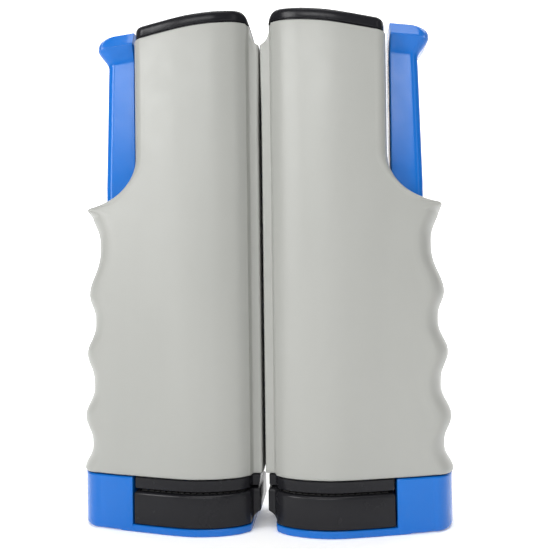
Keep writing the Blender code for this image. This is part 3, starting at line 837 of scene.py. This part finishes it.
def lever_reach(z):
    """Return how far out the lever's edge stands: tapered spine, flare and crown."""
    taper_start, taper_height = 120.0, 44.0
    flare_height = 8.8
    crown_round, crown_height = 3.0, 2.6
    spine = SPINE_OUTER - SPINE_TAPER * min(1.0, max(0.0, (z - taper_start) / taper_height))
    if z > HEAD_WIDEST:
        fall = (z - HEAD_WIDEST) / crown_height
        return HEAD_REACH - crown_round + crown_round * math.sqrt(max(0.0, 1 - fall ** 2))
    flare = max(0.0, (z - FLARE_START) / flare_height)
    return spine + (HEAD_REACH - spine) * (1 - (1 - smooth(flare)) ** 1.25)


def lever_ring(z):
    """Return one level of the lever: spine below, flared and bevelled thumb head above."""
    top = SLIDER_HIGH.z
    widen_start = 164.8
    flare = max(0.0, min(1.0, (z - widen_start) / (HEAD_RIM - widen_start)))
    bevel = max(0.0, (z - HEAD_RIM) / (top - HEAD_RIM))
    inner = SPINE_INNER + 0.15 * flare
    outer = lever_reach(z)
    depth = 8.0 + 1.7 * flare ** 1.3 - 2.6 * bevel ** 0.8
    radius = 3.0 + 1.2 * flare
    corner = 0.35
    side = [(inner, depth - corner), (inner + 0.1, depth - 0.1), (inner + corner, depth)]
    start = outer - radius
    side += [(inner + corner + (start - inner - corner) * i / 4, depth) for i in range(1, 4)]
    side += corner_end(outer, depth, radius, 14)
    lean = TOP_SLOPE * smooth((z - 158.0) / 7.0)
    return [(x, y, z - lean * (x - inner)) for x, y in both_sides(side)]


def build_slider():
    """Build the blue slider: thumb head, spine, column and foot plate in one moulding."""
    top = SLIDER_HIGH.z
    heights = [10.0, 60.0, 120.0, 140.0, 157.0, 160.0, 162.0, 163.5]
    heights += [FLARE_START + (HEAD_RIM - FLARE_START) * i / 10 for i in range(11)]
    heights += [HEAD_RIM + (top - HEAD_RIM) * i / 9 for i in range(1, 9)] + [top - 0.2, top - 0.05]
    rings = [lever_ring(z) for z in heights]
    for share, lift in ((0.10, 0.0), (0.25, 0.06)):
        last = rings[-1]
        middle = sum((Vector(p) for p in last), Vector()) / len(last)
        rings.append([tuple(Vector(p).lerp(middle, share) + Vector((0, 0, lift))) for p in last])
    lever = loft("lever", rings)
    reach = SLIDER_HIGH.x
    centre = reach - END_RADIUS
    side = [(45.0, half_depth(45.0) - 0.7), (45.15, half_depth(45.0) - 0.2), (45.6, half_depth(45.6))]
    side += [(x, half_depth(x)) for x in (48.0, 51.0, 54.0, 57.0)]
    side += rounded_end(centre, reach, half_depth(centre), 14)
    column_top = SHELL_BOTTOM - 0.4
    profile = [(0.0, 1.5), (0.15, 1.0), (0.5, 0.5), (1.0, 0.15), (1.6, 0.0)]
    profile += [(column_top - 0.4, 0.0), (column_top, 0.35)]
    column = rimmed("column", both_sides(side), profile)
    plate_side = [(3.8, 11.0), (3.9, 12.6), (4.1, 13.9)] + tube_side(TUBE_START, 50.0)
    profile = [(0.0, 0.9), (0.25, 0.45), (0.7, 0.2), (2.3, 0.2), (2.6, 0.45)]
    plate = rimmed("plate", both_sides(plate_side), profile)
    cutters = [box("window", (47.6, -20, 34.0), (53.6, 20, 114.0))]
    for x in FOOT_SCREWS:
        profile = [(0.0, -1.0), (HEAD_HOLE, -1.0), (HEAD_HOLE, 1.7)]
        profile += [(SCREW_HOLE, 1.7), (SCREW_HOLE, 5.0), (0.0, 5.0)]
        cutters.append(turned("recess", (x, 0, 0), profile, 24))
    shape = combine(lever, cutters, [column, plate])
    place_pair("slider", shape, BLUE, "slider_{side}", ["clamp_slider_{side}"])


# ---------------------------------------------------------------- springs and screws


def coil(name, centre, radius, wire, low, high, turns, ends):
    """Make a round-wire coil with closed ends whose last turns lie close together."""
    steps_per_turn = 28
    sides = 8
    close_pitch = 2.1
    closed = ends * close_pitch * wire
    rise = (high - low - 2 * wire - 2 * closed) / (turns - 2 * ends)
    rings = []
    for i in range(steps_per_turn * turns + 1):
        angle = 2 * math.pi * i / steps_per_turn
        turn = i / steps_per_turn
        if turn < ends:
            height = turn * close_pitch * wire
        elif turn > turns - ends:
            height = high - low - 2 * wire - (turns - turn) * close_pitch * wire
        else:
            height = closed + (turn - ends) * rise
        outward = Vector((math.cos(angle), math.sin(angle), 0.0))
        middle = Vector(centre) + outward * radius + Vector((0.0, 0.0, low + wire + height))
        ring = []
        for k in range(sides):
            way = 2 * math.pi * k / sides
            ring.append(middle + (outward * math.cos(way) + Vector((0.0, 0.0, math.sin(way)))) * wire)
        rings.append(ring)
    return loft(name, rings)


def build_springs():
    """Build both clamp springs and both reel springs."""
    low, high = SPRING_LOW.z, SPRING_HIGH.z
    spring = coil("spring", (SPRING_X, 0, 0), 2.1, wire=0.4, low=low, high=high, turns=20, ends=1.5)
    nodes = ["clamp_spring_{side}"]
    pieces = place_pair("lift_spring", spring, STEEL, "{side}_post", nodes, sharp=60)
    for side, piece in pieces.items():
        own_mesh(piece)
    low, high = REEL_SPRING_LOW.z, REEL_SPRING_HIGH.z
    spring = coil("spring", (REEL_X, 0, 0), 3.1, wire=0.45, low=low, high=high, turns=30, ends=2.0)
    nodes = ["reel_spring_{side}"]
    place_pair("return_spring", spring, STEEL, "reel_{side}", nodes, sharp=60)


def screw(name, length):
    """Make a pan-head screw with a cross recess, pointing down from its head's underside at 0."""
    crest, root, pitch = 1.1, 0.88, 0.55
    profile = [(0.0, -length), (0.35, -length + 0.2), (1.0, -length + 1.0)]
    z = -length + 1.2
    while z < -0.8:
        profile += [(crest, z), (root, z + 0.25)]
        z += pitch
    profile += [(crest, -0.3), (crest, 0.0)]
    profile += [(1.75, 0.0), (1.9, 0.12), (1.88, 0.4), (1.6, 0.75), (1.0, 0.95), (0.0, 1.0)]
    body = turned(name, (0, 0, 0), profile, 28)
    slots = [
        box("slot", (-1.05, -0.2, 0.35), (1.05, 0.2, 2.0)),
        box("slot", (-0.2, -1.05, 0.36), (0.2, 1.05, 2.0)),
    ]
    return combine(body, slots)


def build_screws():
    """Build the screws in the housing's back and under the feet."""
    lengths = [8.8, 8.8, 11.1]
    for number, ((x, z, seat), length) in enumerate(zip(SCREW_PLACES, lengths), start=1):
        shape = screw("screw", length)
        turn = Matrix.Rotation(-math.pi / 2, 4, "X")
        spin = Matrix.Rotation(0.5 + number, 4, "Z")
        shape.data.transform(Matrix.Translation((x, seat + 0.1, z)) @ turn @ spin)
        node = "housing_screw_%d_{side}" % number
        place_pair(f"case_screw_{number}", shape, STEEL, "{side}_post", [node])
    for number, x in enumerate(FOOT_SCREWS, start=1):
        shape = screw("screw", 7.2)
        turn = Matrix.Rotation(math.pi, 4, "X") @ Matrix.Rotation(0.3 * number, 4, "Z")
        shape.data.transform(Matrix.Translation((x, 0, 1.6)) @ turn)
        node = "foot_screw_%d_{side}" % number
        place_pair(f"sole_screw_{number}", shape, STEEL, "slider_{side}", [node])


# ---------------------------------------------------------------- reel and net


def build_roll():
    """Build the wound net: cloth layers that show as fine steps on its ends."""
    inner, outer = 6.3, (ROLL_HIGH.x - ROLL_LOW.x) / 2
    low, high = ROLL_LOW.z, ROLL_HIGH.z
    profile = [(inner, low + 0.3), (inner, high - 0.3)]
    layers = 11
    pitch = (outer - inner) / layers
    tops = []
    for i in range(layers):
        start = inner + pitch * i
        rise = 0.12 * math.sin(i * 1.7)
        tops += [(start + pitch * 0.15, high - 0.35 + rise), (start + pitch * 0.5, high - 0.05 * abs(rise))]
        tops += [(start + pitch * 0.85, high - 0.35 + rise)]
    profile += tops + [(outer, high - 0.5), (outer, low + 0.5)]
    profile += [(r, low + high - z) for r, z in reversed(tops)]
    roll = turned("roll", (REEL_X, 0, 0), profile, 72)
    place_pair("rolled_net", roll, WOUND, "reel_{side}", ["net_roll_{side}"])


def span_path():
    """Return the net's centre line in plan, from one roll's edge to the other's."""
    distance = (ROLL_HIGH.x - ROLL_LOW.x) / 2 + 0.3 + 0.35
    bend = SPAN_BEND
    angle = math.acos(distance / (REEL_X - bend))
    touch = (REEL_X - distance * math.cos(angle), distance * math.sin(angle))
    steps = 24
    path = [(-touch[0], touch[1]), (-(touch[0] + bend) / 2, touch[1] / 2)]
    path += [(-bend + 2 * bend * i / steps, 0.0) for i in range(steps + 1)]
    return path + [((touch[0] + bend) / 2, touch[1] / 2), touch]


def ribbon(name, low, high, thick, rows, material):
    """Make a thin closed strip of cloth along the net's path between two heights."""
    path = [Vector(p) for p in span_path()]
    rings = []
    for k in range(rows + 1):
        z = low + (high - low) * k / rows
        edge = []
        for side in (-1, 1):
            line = []
            for i, here in enumerate(path):
                before = here - path[max(i - 1, 0)]
                after = path[min(i + 1, len(path) - 1)] - here
                normals = [Vector((-d.y, d.x)).normalized() for d in (before, after) if d.length > 0]
                normal = sum(normals, Vector((0.0, 0.0))).normalized()
                point = here + normal * side * thick / 2 / normal.dot(normals[0])
                line.append((point.x, point.y, z))
            edge += line if side < 0 else line[::-1]
        rings.append(edge)
    shape = loft(name, rings)
    mesh = shape.data.copy()
    bpy.data.objects.remove(shape)
    piece = make_piece(name, mesh, material, ["net_span"], sharp=40)
    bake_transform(piece)


def build_net():
    """Build the stretch of net between the reels: the mesh and its top tape."""
    low, high = SPAN_LOW.z, SPAN_HIGH.z
    ribbon("net_mesh_sheet", low + 1.0, high - 12.0, 0.35, 20, NET)
    ribbon("net_top_tape", high - 13.0, high, 0.66, 4, TAPE)


def dress_frame():
    """Give the CAD nodes that stay their finished materials."""
    for side in SIDES:
        for node in ("reel_tube", "reel_lower_plug", "reel_upper_plug"):
            set_material(f"{node}_{side}", WHITE)
        for node in ("reel_shaft", "spring_guide_rod"):
            set_material(f"{node}_{side}", STEEL)
        set_material(f"spring_seat_{side}", BLACK)


def set_material(node, material):
    """Put a material on a CAD node's own slots."""
    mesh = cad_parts[node].data
    mesh.materials.clear()
    mesh.materials.append(material)


# ---------------------------------------------------------------- stage, light, camera


def build_stage():
    """Build a pale floor that curves up into a backdrop, with a glow that grows behind the object."""
    front, back, radius, height, half_width = -5.0, 3.6, 1.0, 4.5, 6.0
    solid = bmesh.new()
    profile = [(front, 0.0), (back, 0.0)]
    for i in range(1, 13):
        angle = math.pi / 2 * i / 12
        profile.append((back + radius * math.sin(angle), radius - radius * math.cos(angle)))
    profile.append((back + radius, height))
    rows = [[solid.verts.new((x, y, z)) for y, z in profile] for x in (-half_width, half_width)]
    for i in range(len(profile) - 1):
        solid.faces.new((rows[0][i], rows[1][i], rows[1][i + 1], rows[0][i + 1]))
    floor = to_object("floor", solid)
    floor.data.shade_smooth()
    graph = Graph("floor_paper")
    tone = graph.blend(graph.spread(graph.noise(3.0), 0.0, 1.0), (0.90, 0.90, 0.90), (0.93, 0.93, 0.93))
    graph.link(tone, graph.shader.inputs["Base Color"])
    graph.link(tone, graph.shader.inputs["Emission Color"])
    depth = graph.add("ShaderNodeSeparateXYZ")
    graph.link(graph.place, depth.inputs["Vector"])
    glow = graph.spread(depth.outputs["Y"], low=0.18, high=1.05, start=0.0, end=0.9)
    graph.link(glow, graph.shader.inputs["Emission Strength"])
    graph.shader.inputs["Roughness"].default_value = 0.9
    floor.data.materials.append(graph.material)


def add_light(name, place, aim, size, power):
    """Add a soft white rectangular lamp aimed at a point."""
    lamp = bpy.data.lights.new(name, "AREA")
    lamp.shape = "RECTANGLE"
    lamp.size, lamp.size_y = size
    lamp.energy = power
    item = bpy.data.objects.new(name, lamp)
    item.location = place
    item.rotation_euler = (Vector(aim) - Vector(place)).to_track_quat("-Z", "Y").to_euler()
    bpy.context.scene.collection.objects.link(item)


def build_light():
    """Light the object as in a plain white studio."""
    world = bpy.data.worlds.new("studio")
    world.use_nodes = True
    world.node_tree.nodes["Background"].inputs["Color"].default_value = (1.0, 1.0, 1.0, 1.0)
    world.node_tree.nodes["Background"].inputs["Strength"].default_value = 0.22
    bpy.context.scene.world = world
    aim = (0.0, 0.0, 0.09)
    add_light("key", (-0.70, -0.68, 0.42), aim, size=(0.26, 0.50), power=4.5)
    add_light("fill", (0.85, -0.60, 0.40), aim, size=(0.3, 0.6), power=0.9)
    add_light("front", (-0.10, -1.15, 0.52), aim, size=(0.90, 0.30), power=6.2)
    add_light("top", (0.0, -0.30, 1.1), aim, size=(0.7, 0.5), power=5.0)
    add_light("back", (0.0, 0.5, 1.1), (0.0, 1.1, 0.2), size=(1.8, 0.6), power=22.0)


def build_camera():
    """Place the camera a quarter of a metre in front, a little right of the seam."""
    yaw, pitch, roll = 0.0768, 0.0120, -0.0126
    right0 = Vector((math.cos(yaw), math.sin(yaw), 0.0))
    forward = Vector((-math.sin(yaw) * math.cos(pitch), math.cos(yaw) * math.cos(pitch), math.sin(pitch)))
    up0 = right0.cross(forward)
    right = right0 * math.cos(roll) + up0 * math.sin(roll)
    up = up0 * math.cos(roll) - right0 * math.sin(roll)
    lens = bpy.data.cameras.new("camera")
    lens.sensor_width = 36.0
    lens.lens = 47.11
    camera = bpy.data.objects.new("camera", lens)
    rotation = Matrix((right, up, -forward)).transposed()
    camera.matrix_world = Matrix.Translation((0.02353, -0.260, 0.08495)) @ rotation.to_4x4()
    bpy.context.scene.collection.objects.link(camera)
    bpy.context.scene.camera = camera


build_housing()
build_cap()
build_jaws()
build_slider()
build_springs()
build_screws()
build_roll()
build_net()
dress_frame()
build_stage()
build_light()
build_camera()
bpy.context.scene.view_settings.view_transform = "Standard"
